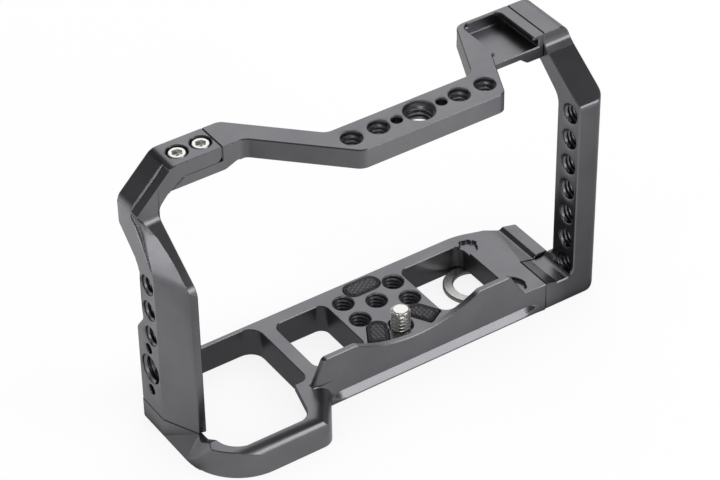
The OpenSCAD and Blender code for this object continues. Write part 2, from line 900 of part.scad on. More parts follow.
module lap_screw_outer() {
    color(steel)
        at_lap(lap_x1)
            translate([0, 0, -lap_sink])
                socket_screw(m3_head_r, m3_head_h, lap_shank);
}
module lap_screw_inner() {
    color(steel)
        at_lap(lap_x2)
            translate([0, 0, -lap_sink])
                socket_screw(m3_head_r, m3_head_h, lap_shank);
}
module left_foot_screw(y) {
    color(steel)
        at_left_foot(y)
            translate([0, 0, -side_sink])
                socket_screw(low_head_r, low_head_h, foot_shank - side_sink);
}
module right_foot_screw(y) {
    color(steel)
        at_right_foot(y)
            translate([0, 0, -side_sink])
                socket_screw(m3_head_r, m3_head_h, side_shank - shank_end);
}
module shoe_screw(y) {
    color(steel)
        at_shoe(y)
            translate([0, 0, -side_sink])
                socket_screw(m3_head_r, m3_head_h, top_shank - shank_end);
}

// camera screw: thread with a chamfered tip on a plain neck, and a slotted head
module camera_screw() {
    color(steel)
        difference() {
            union() {
                translate([0, 0, screw_head_z])
                    cylinder(h = screw_head_t, r = screw_head_r);
                translate([0, 0, screw_head_z])
                    cylinder(h = screw_up - screw_head_z - tip_chamfer, r = neck_r);
                translate([0, 0, neck_up])
                    cylinder(h = screw_up - tip_chamfer - neck_up, r = quarter_r);
                translate([0, 0, screw_up - tip_chamfer])
                    cylinder(h = tip_chamfer, r1 = quarter_r, r2 = quarter_r - tip_chamfer);
            }
            translate([-slot_w / 2, -screw_head_r - over, screw_head_z - over])
                cube([slot_w, 2 * screw_head_r + 2 * over, slot_d + over]);
        }
}

module screw_washer() {
    color("#e8e4d8")
        translate([0, 0, washer_z + seat_gap / 2])
            difference() {
                cylinder(h = washer_t, r = screw_head_r - fit_gap);
                translate([0, 0, -over])
                    cylinder(h = washer_t + 2 * over, r = quarter_r + run_gap);
            }
}

// split ring that springs into the counterbore's groove
module snap_ring() {
    color(steel)
        translate([0, 0, snap_z])
            difference() {
                cylinder(h = snap_t, r = counter_r + snap_bite - run_gap);
                translate([0, 0, -over])
                    cylinder(h = snap_t + 2 * over, r = counter_r - snap_bite);
                translate([-snap_gap / 2, 0, -over])
                    cube([snap_gap, 2 * counter_r, snap_t + 2 * over]);
            }
}

module pad_rear() {
    color("#26262a")
        pad_rear_shape(pad_sink - seat_gap, 0, pad_up);
}
module pad_left() {
    color("#26262a")
        pad_side_shape(-1, pad_sink - seat_gap, 0, pad_up);
}
module pad_right() {
    color("#26262a")
        pad_side_shape(1, pad_sink - seat_gap, 0, pad_up);
}

// flat key: a ring for the finger and a screwdriver blade
module driver_key() {
    color(steel)
        translate([key_x, key_y, key_z])
            difference() {
                along_z(0, key_t)
                    difference() {
                        key_plan(0);
                        circle(r = key_ring_r - key_band);
                    }
                for (side = [-1, 1])
                    translate([key_ring_r + key_blade, side * tip_w, key_t / 2])
                        cube([blade_w, tip_w, 2 * key_t], center = true);
            }
}
module key_magnet(x) {
    color(steel)
        translate([x, key_y, floor_z + key_room])
            cylinder(h = magnet_h, r = magnet_r);
}

base_plate();
left_upright();
top_bar();
right_upright();
lap_screw_outer();
lap_screw_inner();
left_foot_screw(left_foot_ys[0]);  // left_foot_screw_front
left_foot_screw(left_foot_ys[1]);  // left_foot_screw_rear
right_foot_screw(right_foot_ys[0]);  // right_foot_screw_front
right_foot_screw(right_foot_ys[1]);  // right_foot_screw_rear
shoe_screw(shoe_ys[0]);  // shoe_screw_front
shoe_screw(shoe_ys[1]);  // shoe_screw_rear
camera_screw();
screw_washer();
snap_ring();
pad_rear();
pad_left();
pad_right();
driver_key();
key_magnet(magnet_xs[0]);  // key_magnet_inner
key_magnet(magnet_xs[1]);  // key_magnet_outer
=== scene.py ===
from math import atan2, cos, pi, radians, sin, tan

import bpy
from mathutils import Matrix, Vector


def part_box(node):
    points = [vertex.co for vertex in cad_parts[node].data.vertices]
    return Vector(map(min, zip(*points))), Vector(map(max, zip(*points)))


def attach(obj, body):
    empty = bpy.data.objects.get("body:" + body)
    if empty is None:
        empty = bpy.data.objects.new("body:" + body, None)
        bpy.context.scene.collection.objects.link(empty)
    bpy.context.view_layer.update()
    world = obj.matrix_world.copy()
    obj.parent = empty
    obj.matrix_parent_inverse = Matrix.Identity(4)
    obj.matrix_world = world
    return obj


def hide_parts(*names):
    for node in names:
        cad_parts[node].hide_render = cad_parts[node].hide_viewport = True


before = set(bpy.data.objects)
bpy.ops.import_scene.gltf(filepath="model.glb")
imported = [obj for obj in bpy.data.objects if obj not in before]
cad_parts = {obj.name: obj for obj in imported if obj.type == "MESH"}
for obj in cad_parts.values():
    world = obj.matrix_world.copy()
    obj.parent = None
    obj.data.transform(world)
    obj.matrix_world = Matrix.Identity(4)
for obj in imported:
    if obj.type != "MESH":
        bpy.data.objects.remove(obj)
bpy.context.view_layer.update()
bpy.ops.object.select_all(action="DESELECT")
mm = 0.001


# ---------------------------------------------------------------------------
# Camera. A long lens from the front left and above, close to parallel view,
# so it stands about 0.85 m away. Its place and turn were fitted to the photograph.
# ---------------------------------------------------------------------------
azimuth, elevation, roll = radians(-33.449), radians(37.839), radians(-0.931)
look = Vector((-sin(azimuth) * cos(elevation), cos(azimuth) * cos(elevation), -sin(elevation)))
side = look.cross(Vector((0, 0, 1))).normalized()
above = side.cross(look)
cam_x = cos(roll) * side + sin(roll) * above
cam_y = cos(roll) * above - sin(roll) * side
camera_data = bpy.data.cameras.new("photo_camera")
camera_data.sensor_width = 36
camera_data.lens = 136.88
camera_data.clip_start = 0.05
camera_data.clip_end = 20
camera = bpy.data.objects.new("photo_camera", camera_data)
turn = Matrix((cam_x, cam_y, -look)).transposed().to_4x4()
stand = Vector((-368.563, -535.924, 538.461)) * mm
camera.matrix_world = Matrix.Translation(stand) @ turn
bpy.context.collection.objects.link(camera)
bpy.context.scene.camera = camera


# ---------------------------------------------------------------------------
# Frame metal: the base plate with its grip loop and lens lip, two uprights and
# the top bar. Each is milled from 6061 aluminium plate, its edges broken by a
# fine chamfer cutter, then bead blasted and anodised in a dark grey.
# ---------------------------------------------------------------------------
def linear(code):
    """Colour of an sRGB hex code as Blender's linear numbers."""
    parts = [int(code[i:i + 2], 16) / 255 for i in (1, 3, 5)]
    return [c / 12.92 if c <= 0.04045 else ((c + 0.055) / 1.055) ** 2.4 for c in parts] + [1]


def add(tree, kind, links=None, settings=None, **values):
    """Adds a node with its settings, its sockets' values and the sockets linked to it."""
    made = tree.nodes.new(kind)
    for key, value in (settings or {}).items():
        setattr(made, key, value)
    for key, value in values.items():
        made.inputs[key.replace("_", " ")].default_value = value
    for key, source in (links or {}).items():
        tree.links.new(source, made.inputs[key])
    return made


def grey(level):
    """Neutral colour of a linear level."""
    return (level, level, level, 1)


def ramp(made, stops):
    """Sets the stops of a colour ramp to (position, colour) pairs."""
    band = made.color_ramp
    while len(band.elements) > 1:
        band.elements.remove(band.elements[-1])
    for i, (at, colour) in enumerate(stops):
        stop = band.elements[0] if i == 0 else band.elements.new(at)
        stop.position = at
        stop.color = colour
    return made


def new_material(name):
    """Empty material, its tree and its output."""
    made = bpy.data.materials.new(name)
    made.use_nodes = True
    made.node_tree.nodes.clear()
    return made, made.node_tree, made.node_tree.nodes.new("ShaderNodeOutputMaterial")


# Anodised aluminium, bead blasted: a satin grey with a fine even grit that scatters
# the highlight, and faint clouds where the dye took a little more or less.
# The real grit is about 0.06 mm; it is drawn at 0.22 mm so that it shows at all.
grit = 0.22 * mm
anodised, tree, out = new_material("anodised_aluminium_bead_blasted")
place = add(tree, "ShaderNodeTexCoord")
grain = add(tree, "ShaderNodeTexNoise", {"Vector": place.outputs["Object"]},
            Scale=1 / grit, Detail=2.0, Roughness=0.6)
clouds = add(tree, "ShaderNodeTexNoise", {"Vector": place.outputs["Object"]},
             Scale=1 / (14 * mm), Detail=3.0, Roughness=0.55)
dye = ramp(add(tree, "ShaderNodeValToRGB", {"Fac": clouds.outputs["Fac"]}),
           [(0.35, linear("#757579")), (0.65, linear("#7c7c7f"))])
speckle = ramp(add(tree, "ShaderNodeValToRGB", {"Fac": grain.outputs["Fac"]}),
               [(0.3, grey(0.9)), (0.7, grey(1))])
# a Mix node's colour sockets go by number: 0 is the factor, 6 and 7 the two colours
colour = add(tree, "ShaderNodeMix", {6: dye.outputs["Color"], 7: speckle.outputs["Color"]},
             {"data_type": "RGBA", "blend_type": "MULTIPLY"})
colour.inputs[0].default_value = 1
matt = add(tree, "ShaderNodeMapRange", {"Value": clouds.outputs["Fac"]})
matt.inputs["To Min"].default_value = 0.29
matt.inputs["To Max"].default_value = 0.33
bump = add(tree, "ShaderNodeBump", {"Height": grain.outputs["Fac"]}, Strength=0.35,
           Distance=0.02 * mm)
metal = add(tree, "ShaderNodeBsdfPrincipled",
            {"Base Color": colour.outputs[2], "Roughness": matt.outputs["Result"],
             "Normal": bump.outputs["Normal"]}, Metallic=1.0)
tree.links.new(metal.outputs["BSDF"], out.inputs["Surface"])


def active(obj):
    """Makes obj the one selected and active object."""
    bpy.ops.object.select_all(action="DESELECT")
    obj.select_set(True)
    bpy.context.view_layer.objects.active = obj
    return obj


def apply_modifier(obj, kind, **settings):
    """Adds a modifier with its settings and applies it."""
    active(obj)
    made = obj.modifiers.new(kind.lower(), kind)
    for key, value in settings.items():
        setattr(made, key, value)
    bpy.ops.object.modifier_apply(modifier=made.name)


def cut(obj, tool):
    """Cuts tool's shape out of obj, and removes tool."""
    apply_modifier(obj, "BOOLEAN", operation="DIFFERENCE", object=tool, solver="EXACT")
    bpy.data.objects.remove(tool)


def node_copy(node, name):
    """Copy of a CAD node's skin in one merged mesh, its flat faces joined again."""
    obj = bpy.data.objects.new(name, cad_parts[node].data.copy())
    bpy.context.collection.objects.link(obj)
    active(obj)
    bpy.ops.object.mode_set(mode="EDIT")
    bpy.ops.mesh.select_all(action="SELECT")
    bpy.ops.mesh.remove_doubles(threshold=0.002 * mm)
    bpy.ops.mesh.dissolve_limited(angle_limit=radians(0.6))
    bpy.ops.object.mode_set(mode="OBJECT")
    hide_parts(node)
    return obj


def break_edges(obj, width, keep=None, segments=1, over=35):
    """Chamfers every edge sharper than over degrees, as a fine cutter does, apart
    from those whose middle keep(x, y, z), in mm, is true for."""
    active(obj)
    bpy.ops.object.mode_set(mode="EDIT")
    bpy.ops.mesh.select_all(action="SELECT")
    bpy.ops.mesh.quads_convert_to_tris(quad_method="BEAUTY", ngon_method="BEAUTY")
    bpy.ops.mesh.select_all(action="DESELECT")
    bpy.ops.mesh.select_mode(type="EDGE")
    bpy.ops.mesh.edges_select_sharp(sharpness=radians(over))
    bpy.ops.object.mode_set(mode="OBJECT")
    mesh = obj.data
    weight = mesh.attributes.new("bevel_weight_edge", "FLOAT", "EDGE")
    for edge in mesh.edges:
        middle = (mesh.vertices[edge.vertices[0]].co + mesh.vertices[edge.vertices[1]].co) / 2 / mm
        weight.data[edge.index].value = float(edge.select and not (keep and keep(*middle)))
    for polygon in mesh.polygons:
        polygon.use_smooth = False
    apply_modifier(obj, "BEVEL", width=width, segments=segments, limit_method="WEIGHT",
                   use_clamp_overlap=False, loop_slide=False, profile=0.5)


def finish_piece(obj, body, material, smooth=32):
    """Gives a finished piece its shading, its material, and the body it rides on."""
    active(obj)
    bpy.ops.object.shade_smooth()
    bpy.ops.object.mode_set(mode="EDIT")
    bpy.ops.mesh.select_mode(type="EDGE")
    bpy.ops.mesh.select_all(action="DESELECT")
    bpy.ops.mesh.edges_select_sharp(sharpness=radians(smooth))
    bpy.ops.mesh.mark_sharp()
    bpy.ops.object.mode_set(mode="OBJECT")
    apply_modifier(obj, "WEIGHTED_NORMAL", mode="FACE_AREA", weight=50, keep_sharp=True)
    obj.data.materials.clear()
    obj.data.materials.append(material)
    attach(obj, body)
    return obj


def block(name, low, high):
    """Box from its lowest to its highest corner, in mm."""
    bpy.ops.mesh.primitive_cube_add(size=1, location=[(a + b) / 2 * mm for a, b in zip(low, high)])
    obj = bpy.context.active_object
    obj.name = name
    obj.scale = [(b - a) * mm for a, b in zip(low, high)]
    bpy.ops.object.transform_apply(location=True, rotation=True, scale=True)
    return obj


# Where the cuts start from, in mm: the left upright's outer face and its arm's front
# face, the bevel between outer face and top, and the two seams seen in the photograph.
left_face, arm_front, cage_top = -80.9, 15.1, 79.9
bevel_low, bevel_high = (left_face, 67.3), (-68.3, cage_top)
lap_seam, foot_seam, seam_gap = 75.1, 49, 0.16


def round_bend(obj, corner, before, after, radius, low_y, high_y):
    """Rounds a convex bend along Y whose corner and two faces are given as (x, z) in mm:
    what lies outside a cylinder, between its two tangent lines, is cut away."""
    one, two = Vector(before).normalized(), Vector(after).normalized()
    inward = (one + two).normalized()
    half = one.angle(two) / 2
    tangent = radius / tan(half)
    height = tangent * cos(half) + 0.5
    middle = Vector(corner) + inward * (tangent * cos(half) - height / 2)
    centre = Vector(corner) + inward * radius / sin(half)
    along, length = (low_y + high_y) / 2, high_y - low_y
    bpy.ops.mesh.primitive_cube_add(size=1, location=Vector((middle.x, along, middle.y)) * mm,
                                    rotation=(0, atan2(-inward.x, -inward.y), 0))
    tool = bpy.context.active_object
    tool.scale = Vector((2 * tangent * sin(half), length, height)) * mm
    bpy.ops.object.transform_apply(location=True, rotation=True, scale=True)
    bpy.ops.mesh.primitive_cylinder_add(vertices=128, radius=radius * mm, depth=(length + 2) * mm,
                                        location=Vector((centre.x, along, centre.y)) * mm,
                                        rotation=(radians(90), 0, 0))
    bpy.ops.object.transform_apply(location=True, rotation=True, scale=True)
    cut(tool, bpy.context.active_object)
    cut(obj, tool)


def kept_sharp(x, y, z):
    """The sweep's run-out on the slope below the arm, the arm's bevel along its front,
    and the lap joint's seam."""
    return (x < -74.5 and y < 19.3 and 48.5 < z < 67.8 or in_lap_seam(x, y, z)
            or x < -68 and abs(y - arm_front) < 0.3 and z > 67)


def in_lap_seam(x, y, z):
    """The seam under the lap tongue."""
    return x < -50 and 74.7 < z < 75.4


def bar_sharp(x, y, z):
    """The lap joint's seam, and the bar's lower rear corner beside it."""
    return in_lap_seam(x, y, z) or -48 < x < -45 and y > 26 and z < 74.6


def in_flare(x, y, z):
    """The left flank below the seam flows out to the loop in one smooth sweep."""
    return x < -75.5 and -12 < y < 9 and -10.3 < z < -3.4


def flank_sweep():
    """Path of the ball cutter that hollows the left upright's flank, starting flush below
    the arm and running up into the strip on the arm's bevel. Each row of the cutter's
    mesh is a cross section: the place of its edge on the flank (y, z), its turn from the
    front in degrees, its depth, and the width over which it gets there."""
    flank = ((7.0, 47, 24.9, -0.1, 0.6), (7.05, 49, 24.7, 0, 0.6), (7.2, 50.2, 24.6, 0.1, 0.6),
             (7.55, 51.2, 24.8, 0.15, 0.7), (8.1, 52.2, 25.4, 0.25, 0.8),
             (8.9, 53.3, 26.2, 0.35, 0.9), (10.0, 54.8, 28, 0.5, 1.1), (11.3, 56.6, 30, 0.6, 1.4),
             (12.9, 59, 32, 0.8, 1.8), (14.7, 61.5, 33, 1.1, 2.6), (16.4, 63.8, 30, 1.15, 3),
             (17.6, 65.3, 22, 0.9, 2.2), (18.5, 66.6, 8, 0.5, 1))
    bevel = ((18.7, 0.1, 0.37), (18.7, 0.9, 0.3))
    profile = ((0, -0.6), (0, 0), (0.12, 0.5), (0.35, 0.8), (0.65, 0.95), (1, 1))
    reach = (5, 9, 17)
    rows = len(flank) + len(bevel)
    columns = len(profile) + len(reach)
    bpy.ops.mesh.primitive_grid_add(x_subdivisions=columns - 1, y_subdivisions=rows - 1,
                                    size=1, location=(0, 0, 0))
    obj = bpy.context.active_object
    frames = [(Vector((left_face, y, z)), Vector((sin(radians(turn)), -cos(radians(turn)), 0)),
               Vector((cos(radians(turn)), sin(radians(turn)), 0)), depth, width)
              for y, z, turn, depth, width in flank]
    frames += [(Vector((left_face + up, y, bevel_low[1] + up)), Vector((0, -1, 0)),
                Vector((1, 0, -1)).normalized(), depth, 0.5) for y, up, depth in bevel]
    places = []
    for edge, along, inward, depth, width in frames:
        places += [edge + along * u * width + inward * (w * depth if w > 0 else w)
                   for u, w in profile]
        places += [edge + along * u + inward * depth for u in reach]
    for vertex, spot in zip(obj.data.vertices, places):
        vertex.co = spot * mm
    active(obj)
    bpy.ops.object.mode_set(mode="EDIT")
    bpy.ops.mesh.select_all(action="SELECT")
    outwards = (-5 * mm, -13.5 * mm, 0)
    bpy.ops.mesh.extrude_region_move(TRANSFORM_OT_translate={"value": outwards})
    bpy.ops.mesh.select_all(action="SELECT")
    bpy.ops.mesh.normals_make_consistent(inside=False)
    bpy.ops.object.mode_set(mode="OBJECT")
    return obj


for node, chamfer, keep in (("base_plate", 0.25, in_flare), ("left_upright", 0.32, kept_sharp),
                            ("top_bar", 0.32, bar_sharp), ("right_upright", 0.32, None)):
    milled = node_copy(node, node + "_milled")
    if node == "top_bar":
        # the joint's seam shows as a fine gap
        cut(milled, block("lap_gap", (-82, -12, lap_seam - seam_gap), (-51.22, 30, 75.6)))
    if node == "left_upright":
        # the strip on the arm's bevel is shallow: its floor is brought up, its ends
        # staying in the left face and in the top face
        upward = Vector((-1, 0, 1)).normalized()
        lift = 0.43
        slide = lift * 2 ** 0.5
        strip = set()
        for polygon in milled.data.polygons:
            inner = polygon.center / mm - Vector((bevel_low[0], 0, bevel_low[1]))
            if (polygon.normal.dot(upward) > 0.99 and inner.dot(upward) < -0.4
                    and 15 < inner.y < 18.8):
                strip.update(polygon.vertices)
        for index in strip:
            spot = milled.data.vertices[index].co
            if abs(spot.x / mm - left_face) < 0.02:
                spot.z += slide * mm
            elif abs(spot.z / mm - cage_top) < 0.02:
                spot.x -= slide * mm
            else:
                spot += upward * lift * mm
        round_bend(milled, bevel_low, (0, -1), (1, 1), 6, 14, 30)
        round_bend(milled, bevel_high, (-1, -1), (1, 0), 4.5, 14, 30)
        cut(milled, flank_sweep())
    if node == "base_plate":
        # the seam before the right foot shows as a fine gap too, on the top and the front
        for name, low, high in (("seam_gap_top", (-9.9, -0.6), (3.9, 0.1)),
                                ("seam_gap_front", (-9.9, -10.3), (-9.3, 0.1))):
            cut(milled, block(name, (foot_seam - seam_gap, *low), (foot_seam + 0.05, *high)))
        # three lobes round the corner pocket's back, and the relief behind the lip's end
        lobe_r = 1.1
        for x, y in ((39.5, 22.35), (41.05, 21.9), (42.25, 20.6)):
            bpy.ops.mesh.primitive_cylinder_add(vertices=48, radius=lobe_r * mm, depth=2 * mm,
                                                location=(x * mm, y * mm, 0))
            cut(milled, bpy.context.active_object)
        bpy.ops.mesh.primitive_cylinder_add(vertices=64, radius=1.8 * mm, depth=2.4 * mm,
                                            location=(41.6 * mm, -3.0 * mm, 0))
        relief = bpy.context.active_object
        relief.scale.y = 1.9
        relief.rotation_euler.z = radians(30)
        bpy.ops.object.transform_apply(location=True, rotation=True, scale=True)
        cut(milled, relief)
    break_edges(milled, chamfer * mm, keep)
    finish_piece(milled, "frame", anodised)


# ---------------------------------------------------------------------------
# Threads. The rows of holes are tapped 1/4"-20 and the two large ones 3/8"-16.
# Each thread is one helical ridge of the same anodised metal, cut sharp by the
# tap, and it stops short of the chamfer at either mouth.
# ---------------------------------------------------------------------------
def helix(name, outer, inner, pitch, length, steps=28):
    """Ridge of a thread: a four-sided profile, base at outer and crest at inner,
    swept up along Z from the origin, and closed at both ends."""
    bpy.ops.mesh.primitive_plane_add(size=1, location=(0, 0, 0))
    obj = bpy.context.active_object
    obj.name = name
    bpy.ops.object.mode_set(mode="EDIT")
    bpy.ops.mesh.select_all(action="SELECT")
    bpy.ops.mesh.delete(type="ONLY_FACE")
    bpy.ops.object.mode_set(mode="OBJECT")
    foot, crest = 0.47 * pitch, 0.09 * pitch
    for vertex in obj.data.vertices:
        high = vertex.co.y > 0
        base = vertex.co.x > 0
        half = foot if base else crest
        vertex.co = ((outer if base else inner) * mm, 0, (half if high else -half) * mm)
    turns = length / pitch
    apply_modifier(obj, "SCREW", angle=2 * pi * turns, screw_offset=length * mm, iterations=1,
                   steps=round(steps * turns), render_steps=round(steps * turns),
                   use_normal_calculate=True, use_merge_vertices=False)
    bpy.ops.object.mode_set(mode="EDIT")
    bpy.ops.mesh.select_mode(type="EDGE")
    bpy.ops.mesh.select_all(action="DESELECT")
    bpy.ops.mesh.select_non_manifold()
    bpy.ops.mesh.edge_face_add()
    bpy.ops.mesh.select_all(action="SELECT")
    bpy.ops.mesh.normals_make_consistent(inside=False)
    bpy.ops.object.mode_set(mode="OBJECT")
    return obj


bite = 0.06         # how far a ridge's base reaches into the wall
start = 0.3         # how far a ridge stays below either mouth
row_pitch = 9.53
quarter_thread = {"outer": 3.175 + bite, "inner": 2.62, "pitch": 1.27}
eighths_thread = {"outer": 4.7625 + bite, "inner": 4.02, "pitch": 1.5875}
down = Matrix.Identity(3)
into_left = Matrix.Rotation(radians(-90), 3, "Y")
into_right = Matrix.Rotation(radians(90), 3, "Y")
# wall, turn into it, mouth of the hole, its depth and its thread
tapped_holes = [("base_plate", down, (0.64 + i * 9.4, 14.07 + j * 4.68, 0), 10.2, quarter_thread)
                for i, j in ((0, 0), (-1, 1), (-1, -1), (1, 1), (1, -1))]
tapped_holes += [("left_upright", into_left, (left_face, 11.5, 45.1 - i * row_pitch), 7.7,
                  quarter_thread) for i in range(3)]
tapped_holes += [("left_upright", into_left, (left_face, 13.4, 12.1), 7.7, eighths_thread)]
tapped_holes += [("top_bar", down, (5.3 + x, -2.3, cage_top), 6.8, quarter_thread)
                 for x in (-23.66, -14.33, 14.33, 23.66)]
tapped_holes += [("top_bar", down, (5.3, -2.3, cage_top), 6.8, eighths_thread)]
tapped_holes += [("right_upright", into_right, (69.2, -4.85, 58.15 - i * row_pitch), 9.8,
                  quarter_thread) for i in range(7)]
for number, (wall, turned_to, mouth_at, depth, thread) in enumerate(tapped_holes):
    ridge = helix("%s_thread_%d" % (wall, number),
                  length=depth - 2 * start - 0.9 * thread["pitch"], **thread)
    # the ridge stands on its lower end; its axis is turned into the hole's
    low = Vector((0, 0, -depth + start + 0.45 * thread["pitch"]))
    foot_at = turned_to @ low + Vector(mouth_at)
    ridge.data.transform(Matrix.Translation(foot_at * mm) @ turned_to.to_4x4())
    finish_piece(ridge, "frame", anodised, smooth=40)


# ---------------------------------------------------------------------------
# Socket screws that clamp the four frame parts. Stainless steel, cold headed
# and rolled: a chamfered head with a hex socket, its face turned.
# ---------------------------------------------------------------------------
# Turned stainless steel: bright, with a fine tool grain that breaks the highlight
# up a little. The real grain is 0.05 mm apart; it is drawn at 0.15 mm.
steel, tree, out = new_material("stainless_steel_turned")
place = add(tree, "ShaderNodeTexCoord")
wear = add(tree, "ShaderNodeTexNoise", {"Vector": place.outputs["Object"]},
           Scale=1 / (0.15 * mm), Detail=2.0)
tint = ramp(add(tree, "ShaderNodeValToRGB", {"Fac": wear.outputs["Fac"]}),
            [(0.3, linear("#dad8d5")), (0.7, linear("#e9e7e4"))])
bump = add(tree, "ShaderNodeBump", {"Height": wear.outputs["Fac"]}, Strength=0.2,
           Distance=0.01 * mm)
bright = add(tree, "ShaderNodeBsdfPrincipled",
             {"Base Color": tint.outputs["Color"], "Normal": bump.outputs["Normal"]},
             Metallic=1.0, Roughness=0.3)
tree.links.new(bright.outputs["BSDF"], out.inputs["Surface"])

for node in ("lap_screw_outer", "lap_screw_inner", "left_foot_screw_front", "left_foot_screw_rear",
             "right_foot_screw_front", "right_foot_screw_rear", "shoe_screw_front",
             "shoe_screw_rear"):
    screw = node_copy(node, node + "_turned")
    break_edges(screw, 0.28 * mm, over=32)
    finish_piece(screw, "frame", steel, smooth=35)


# ---------------------------------------------------------------------------
# Camera screw: 1/4"-20, turned from stainless steel, with a plain chamfered
# lead at the tip, a rolled thread, a thin neck and a slotted head below.
# ---------------------------------------------------------------------------
def turned(name, rings, sides=48):
    """Turned piece on the Z axis, built up ring by ring from (radius, height) in mm."""
    radius, height = rings[0]
    bpy.ops.mesh.primitive_circle_add(vertices=sides, radius=radius * mm, fill_type="NGON",
                                      location=(0, 0, height * mm))
    obj = bpy.context.active_object
    obj.name = name
    bpy.ops.object.transform_apply(location=True, rotation=True, scale=True)
    bpy.ops.object.mode_set(mode="EDIT")
    bpy.ops.mesh.select_all(action="SELECT")
    for r, z in rings[1:]:
        bpy.ops.mesh.extrude_region_move(
            TRANSFORM_OT_translate={"value": (0, 0, (z - height) * mm)})
        bpy.ops.transform.resize(value=(r / radius, r / radius, 1),
                                 center_override=(0, 0, z * mm))
        radius, height = r, z
    bpy.ops.mesh.select_all(action="SELECT")
    bpy.ops.mesh.normals_make_consistent(inside=False)
    bpy.ops.object.mode_set(mode="OBJECT")
    return obj


head_bottom, slot_width, slot_depth = -6.575, 1.6, 1.2
rolled_from, rolled_length = -1.2, 6.9
screw = turned("camera_screw_turned",
               [(6.1, head_bottom), (6.1, -4.175), (2.45, -4.175), (2.45, 5.4), (2.75, 5.7),
                (2.75, 5.95), (2.4, 6.3)])
bpy.ops.mesh.primitive_cube_add(size=1, location=(0, 0, head_bottom * mm))
slot = bpy.context.active_object
slot.scale = (slot_width * mm, 14 * mm, 2 * slot_depth * mm)
bpy.ops.object.transform_apply(location=True, rotation=True, scale=True)
cut(screw, slot)
break_edges(screw, 0.2 * mm, over=40)
rolled = helix("rolled", outer=2.4, inner=3.175, pitch=1.27, length=rolled_length)
rolled.data.transform(Matrix.Translation(Vector((0, 0, rolled_from * mm))))
active(screw)
rolled.select_set(True)
bpy.ops.object.join()
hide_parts("camera_screw")
finish_piece(screw, "screw", steel, smooth=40)

# Snap ring that keeps the screw in its counterbore: spring steel, stamped.
ring = node_copy("snap_ring", "snap_ring_stamped")
break_edges(ring, 0.12 * mm, over=40)
finish_piece(ring, "frame", steel)

# Nylon washer under the screw's head: natural nylon, cut from sheet, faintly
# cloudy, so that the head turns freely against the base.
nylon, tree, out = new_material("natural_nylon")
place = add(tree, "ShaderNodeTexCoord")
cloud = add(tree, "ShaderNodeTexNoise", {"Vector": place.outputs["Object"]}, Scale=1 / (2 * mm))
tint = ramp(add(tree, "ShaderNodeValToRGB", {"Fac": cloud.outputs["Fac"]}),
            [(0.3, linear("#dcd8cc")), (0.7, linear("#e8e4d9"))])
milky = add(tree, "ShaderNodeBsdfPrincipled", {"Base Color": tint.outputs["Color"]}, Roughness=0.5)
tree.links.new(milky.outputs["BSDF"], out.inputs["Surface"])
washer = node_copy("screw_washer", "screw_washer_cut")
break_edges(washer, 0.08 * mm, over=40)
finish_piece(washer, "washer", nylon)


# ---------------------------------------------------------------------------
# Pads that the camera stands on. Black rubber, moulded with a diamond knurl
# of 1.25 mm pitch, and bonded into their recesses in the base.
# ---------------------------------------------------------------------------
# Moulded rubber: nearly black, matt, with a fine bloom and a soft sheen on its edges.
rubber, tree, out = new_material("moulded_rubber")
place = add(tree, "ShaderNodeTexCoord")
skin = add(tree, "ShaderNodeTexNoise", {"Vector": place.outputs["Object"]},
           Scale=1 / (0.3 * mm), Detail=3.0)
tint = ramp(add(tree, "ShaderNodeValToRGB", {"Fac": skin.outputs["Fac"]}),
            [(0.3, linear("#48484b")), (0.7, linear("#565659"))])
bump = add(tree, "ShaderNodeBump", {"Height": skin.outputs["Fac"]}, Strength=0.25,
           Distance=0.02 * mm)
soft = add(tree, "ShaderNodeBsdfPrincipled",
           {"Base Color": tint.outputs["Color"], "Normal": bump.outputs["Normal"]}, Roughness=0.62)
tree.links.new(soft.outputs["BSDF"], out.inputs["Surface"])


def select_top(obj):
    """Selects the faces that look up and leaves the object in edit mode."""
    bpy.ops.mesh.select_all(action="DESELECT")
    bpy.ops.object.mode_set(mode="OBJECT")
    for polygon in obj.data.polygons:
        polygon.select = polygon.normal.z > 0.9
    bpy.ops.object.mode_set(mode="EDIT")


# pitch of the knurl, depth and half width of its grooves, radius of the pads' corners
knurl, groove, half_groove, corner_r = 1.25, 0.3, 0.17, 1.1
for node, lay in (("pad_rear", 0), ("pad_left", 60), ("pad_right", -60)):
    pad = node_copy(node, node + "_knurled")
    low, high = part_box(node)
    centre = (low + high) / 2
    # the upright corners are moulded round
    bpy.ops.object.mode_set(mode="EDIT")
    bpy.ops.mesh.select_mode(type="EDGE")
    bpy.ops.mesh.select_all(action="DESELECT")
    bpy.ops.mesh.edges_select_sharp(sharpness=radians(25))
    bpy.ops.object.mode_set(mode="OBJECT")
    for edge in pad.data.edges:
        one, two = (pad.data.vertices[i].co for i in edge.vertices)
        edge.select = edge.select and abs(one.z - two.z) > 0.3 * mm
    bpy.ops.object.mode_set(mode="EDIT")
    bpy.ops.mesh.bevel(offset=corner_r * mm, segments=6, affect="EDGES")
    bpy.ops.mesh.select_mode(type="FACE")
    for angle in (lay + 32, lay - 32):
        across = Vector((sin(radians(angle)), cos(radians(angle)), 0))
        for step in range(-12, 13):
            select_top(pad)
            bpy.ops.mesh.bisect(plane_co=centre + across * step * knurl * mm, plane_no=across,
                                use_fill=False, clear_inner=False, clear_outer=False)
    # the diamonds between the cuts stand up from a floor a groove's depth lower
    select_top(pad)
    bpy.ops.transform.translate(value=(0, 0, -groove * mm))
    bpy.ops.mesh.inset(thickness=half_groove * mm, depth=groove * mm, use_individual=True)
    bpy.ops.object.mode_set(mode="OBJECT")
    finish_piece(pad, "frame", rubber, smooth=30)


